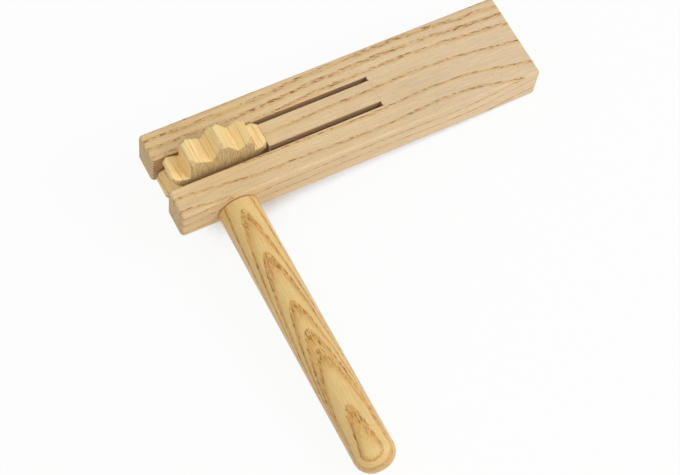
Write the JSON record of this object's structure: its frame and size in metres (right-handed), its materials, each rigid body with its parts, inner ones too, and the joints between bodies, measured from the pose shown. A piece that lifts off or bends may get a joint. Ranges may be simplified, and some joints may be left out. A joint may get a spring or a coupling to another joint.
{
  "type": "ratchet noisemaker",
  "caption": "Hand-whirled wooden ratchet: a forked block with a sawn springy tongue spins round a toothed wheel fixed to a straight round handle and clacks.",
  "frame": {"origin": "on the handle's axis, at the shoulder where the handle meets the block's side", "axes": "+X along the block from the wheel to its closed end, -Y along the handle to its free end, +Z square to the block's large face on the tongue's side"},
  "size_m": [0.205, 0.2045, 0.0588],
  "materials": {
    "block_ash": "planed, oiled",
    "wheel_wood": "cut and sanded",
    "handle_ash": "clear lacquer",
    "dowel_wood": "plain"
  },
  "bodies": {
    "handle": {"handle": "handle_ash", "axle": "dowel_wood", "ratchet_wheel": "wheel_wood", "wheel_pin": "dowel_wood"},
    "block": {"block": "block_ash"},
    "tongue": {"tongue": "block_ash"}
  },
  "joints": [
    {"name": "block_spin", "type": "hinge", "parent": "handle", "child": "block", "pos_m": [0, 0, 0], "axis": [0, 1, 0], "continuous": true},
    {"name": "tongue_flex", "type": "hinge", "parent": "block", "child": "tongue", "pos_m": [0.0898, 0.02625, 0.0097], "axis": [0, 1, 0], "range_deg": [-4, 4], "stiffness_Nm_per_rad": 137, "deforming": ["tongue"]}
  ]
}
